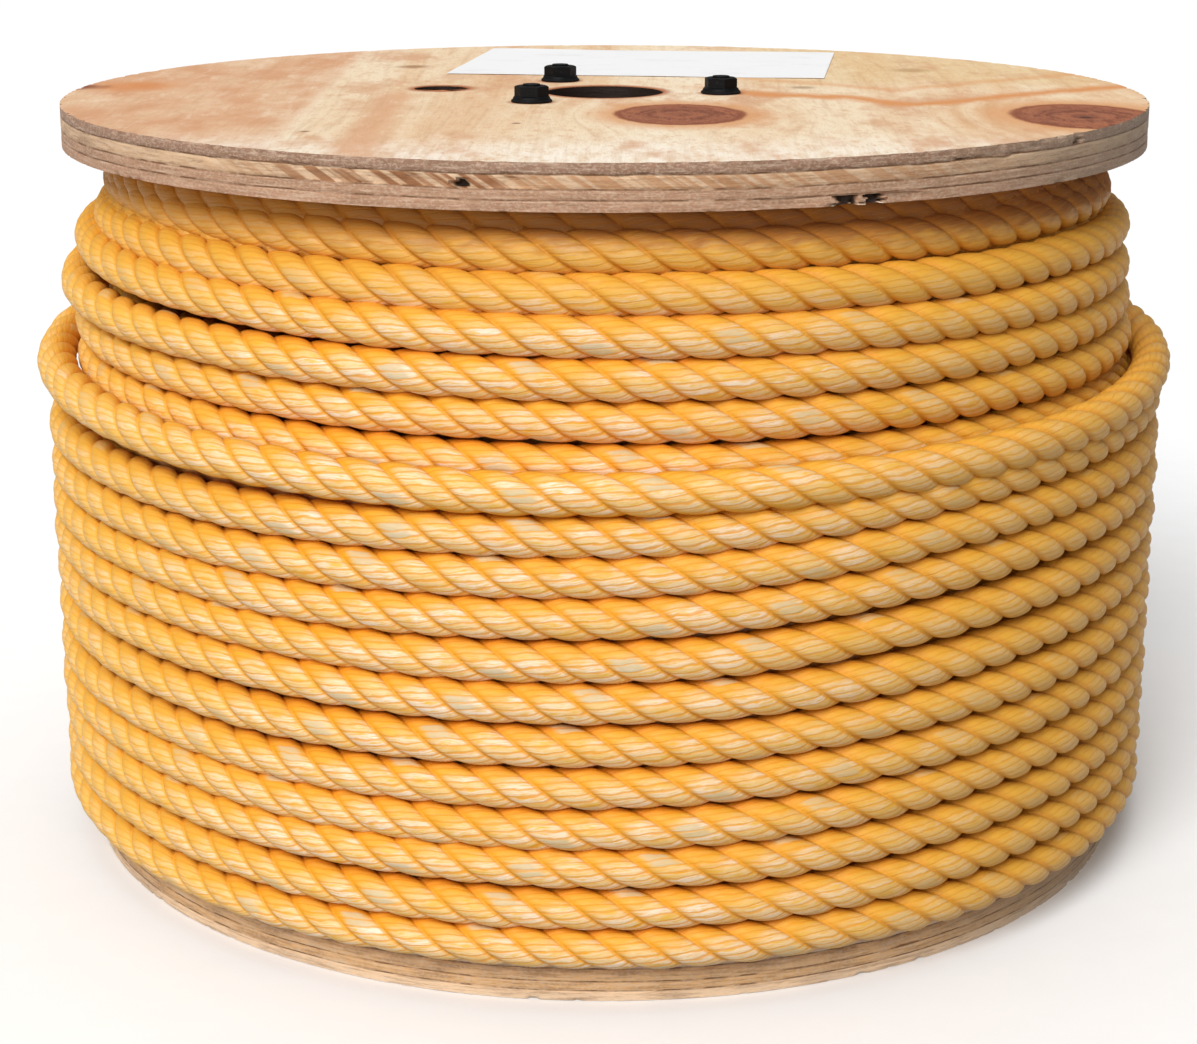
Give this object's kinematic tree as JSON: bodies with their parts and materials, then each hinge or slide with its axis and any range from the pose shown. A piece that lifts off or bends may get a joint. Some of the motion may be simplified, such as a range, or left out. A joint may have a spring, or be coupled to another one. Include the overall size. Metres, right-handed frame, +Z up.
{
  "type": "wound rope reel",
  "caption": "Plywood reel with a tubular core and through tie bolts, wound in nested layers with yellow three-strand twisted rope.",
  "frame": {"origin": "centre of the reel's base, on the floor it stands on", "axes": "+Z up the reel's axis; +Y to the side where the rope's outer end is bound"},
  "size_m": [0.4326, 0.4324, 0.2848],
  "materials": {
    "plywood": "rough sanded softwood plywood with dark glue lines at the edge",
    "fibreboard": "matte spiral-wound fibreboard",
    "bolt_steel": "zinc plated",
    "nut_steel": "black oxide, slightly oily",
    "label_paper": "matte white paper, blank",
    "staple_steel": "galvanised wire",
    "rope": "yellow polyolefin and polyester yarns, satin",
    "tape": "semi-gloss filament tape"
  },
  "bodies": {
    "root": {"top_flange": "plywood", "bottom_flange": "plywood", "core_tube": "fibreboard", "tie_bolt_a": "bolt_steel", "flange_nut_a": "nut_steel", "tie_bolt_b": "bolt_steel", "flange_nut_b": "nut_steel", "tie_bolt_c": "bolt_steel", "flange_nut_c": "nut_steel", "label": "label_paper", "start_staple": "staple_steel", "rope_layer_01": "rope", "rope_layer_02": "rope", "rope_layer_03": "rope", "rope_layer_04": "rope", "rope_layer_05": "rope", "rope_layer_06": "rope", "rope_layer_07": "rope", "rope_layer_08": "rope", "rope_layer_09": "rope", "rope_layer_10": "rope", "rope_layer_11": "rope", "rope_layer_12": "rope", "rope_layer_13": "rope", "rope_last_turn": "rope", "end_tape": "tape"}
  },
  "joints": []
}
